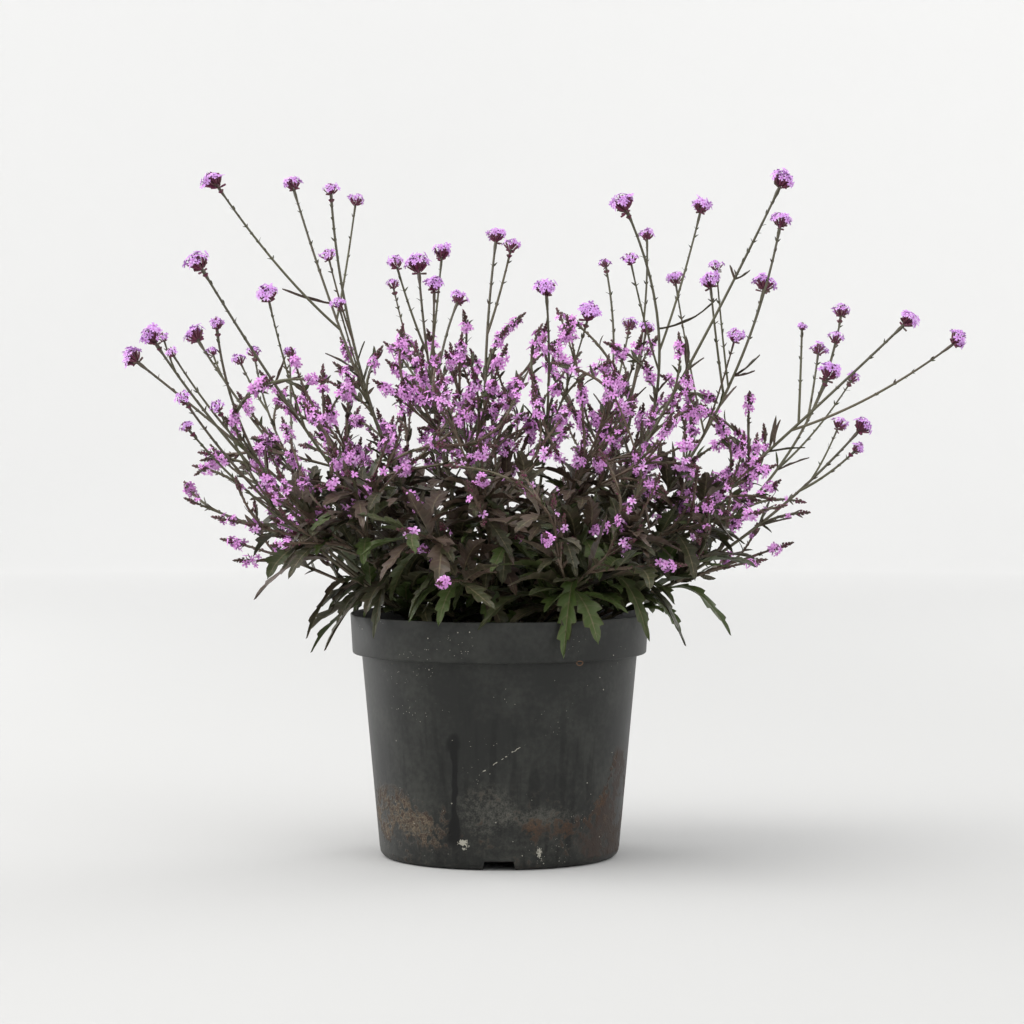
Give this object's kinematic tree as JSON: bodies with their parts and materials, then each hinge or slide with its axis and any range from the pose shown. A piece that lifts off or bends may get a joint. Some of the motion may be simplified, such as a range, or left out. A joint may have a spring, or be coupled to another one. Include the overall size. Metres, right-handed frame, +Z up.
{
  "type": "potted verbena",
  "caption": "Verbena with round lilac heads on tall stems over a bush of dark toothed leaves and slim flower spikes, in a black plastic nursery pot.",
  "frame": {"origin": "centre of the pot's foot, on the surface that it stands on", "axes": "+Z up; -Y is the front, the side that the picture shows; +X is to the right of the front view"},
  "size_m": [0.5366, 0.3095, 0.4375],
  "materials": {
    "pot_plastic": "matte",
    "soil": "matte",
    "foliage": "satin",
    "florets": "matte"
  },
  "bodies": {
    "root": {"bloom_left_back_1": "florets", "bloom_left_far_1": "florets", "bloom_left_fork_1": "florets", "bloom_left_fork_2": "florets", "bloom_left_front_1": "florets", "bloom_left_front_2": "florets", "bloom_left_low_1": "florets", "bloom_middle_left_1": "florets", "bloom_middle_left_3": "florets", "bloom_middle_left_4": "florets", "bloom_middle_right_1": "florets", "bloom_middle_right_2": "florets", "bloom_middle_tall_1": "florets", "bloom_right_back_4": "florets", "bloom_right_far_1": "florets", "bloom_right_far_2": "florets", "bloom_right_fork_1": "florets", "bloom_right_fork_2": "florets", "bloom_right_low_1": "florets", "bloom_right_many_1": "florets", "bloom_right_many_2": "florets", "bloom_right_many_4": "florets", "bloom_right_tall_1": "florets", "pot": "pot_plastic", "soil": "soil", "spray_bush_01": "foliage", "spray_bush_02": "foliage", "spray_bush_03": "foliage", "spray_bush_04": "foliage", "spray_bush_05": "foliage", "spray_bush_06": "foliage", "spray_bush_07": "foliage", "spray_bush_08": "foliage", "spray_bush_09": "foliage", "spray_bush_10": "foliage", "spray_bush_11": "foliage", "spray_bush_12": "foliage", "spray_bush_13": "foliage", "spray_left_back": "foliage", "spray_left_far": "foliage", "spray_left_fork": "foliage", "spray_left_front": "foliage", "spray_left_inner": "foliage", "spray_left_low": "foliage", "spray_left_mid": "foliage", "spray_left_rear": "foliage", "spray_left_short": "foliage", "spray_middle_left": "foliage", "spray_middle_rear": "foliage", "spray_middle_right": "foliage", "spray_middle_tall": "foliage", "spray_right_back": "foliage", "spray_right_far": "foliage", "spray_right_fork": "foliage", "spray_right_low": "foliage", "spray_right_many": "foliage", "spray_right_mid": "foliage", "spray_right_rear": "foliage", "spray_right_tall": "foliage"}
  },
  "joints": []
}
